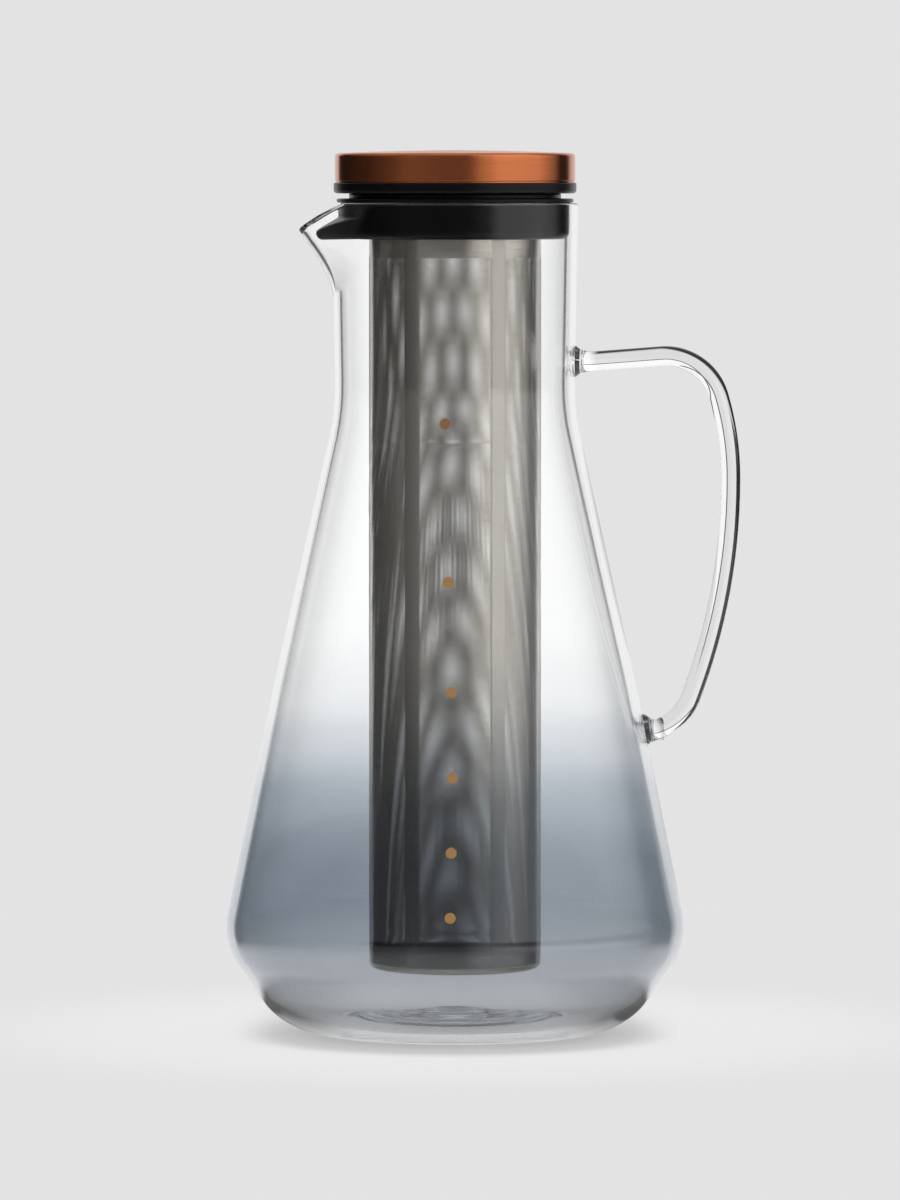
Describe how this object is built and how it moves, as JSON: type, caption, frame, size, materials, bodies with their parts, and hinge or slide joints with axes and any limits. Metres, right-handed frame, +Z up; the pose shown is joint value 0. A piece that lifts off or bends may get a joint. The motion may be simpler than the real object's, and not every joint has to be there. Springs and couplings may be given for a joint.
{
  "type": "cold brew coffee maker",
  "caption": "Glass cold brew jug with a drawn spout, rod handle, hanging steel mesh filter and a copper-coloured plug lid.",
  "frame": {"origin": "on the jug's axis, in the plane that it stands on", "axes": "+Z up along the jug's axis, +X towards the handle, -X towards the spout, -Y towards the level dots"},
  "size_m": [0.1577, 0.1406, 0.2701],
  "materials": {
    "tinted_glass": "clear above, smoke tint fading in towards the base",
    "clear_glass": "clear, fire polished",
    "dot_enamel": "fired gold-brown enamel",
    "black_silicone": "satin, soft moulded",
    "black_plastic": "fine moulded grain",
    "filter_steel": "brushed around",
    "perforated_steel": "finely perforated, brushed around",
    "copper_steel": "copper-coloured plating, brushed around"
  },
  "bodies": {
    "carafe": {"carafe_body": "tinted_glass", "carafe_handle": "clear_glass", "level_dot_1": "dot_enamel", "level_dot_2": "dot_enamel", "level_dot_3": "dot_enamel", "level_dot_4": "dot_enamel", "level_dot_5": "dot_enamel", "level_dot_6": "dot_enamel"},
    "filter": {"neck_collar": "black_silicone", "filter_rim": "filter_steel", "filter_screen": "perforated_steel", "filter_base_cap": "filter_steel"},
    "lid": {"lid_cap": "copper_steel", "lid_core": "black_plastic", "lid_gasket": "black_silicone", "lid_seal_upper": "black_silicone", "lid_seal_lower": "black_silicone", "lid_liner": "black_plastic"}
  },
  "joints": [
    {"name": "filter_lift", "type": "slide", "parent": "carafe", "child": "filter", "axis": [0, 0, 1], "range_m": [0, 0.25]},
    {"name": "lid_lift", "type": "slide", "parent": "filter", "child": "lid", "axis": [0, 0, 1], "range_m": [0, 0.03]}
  ]
}
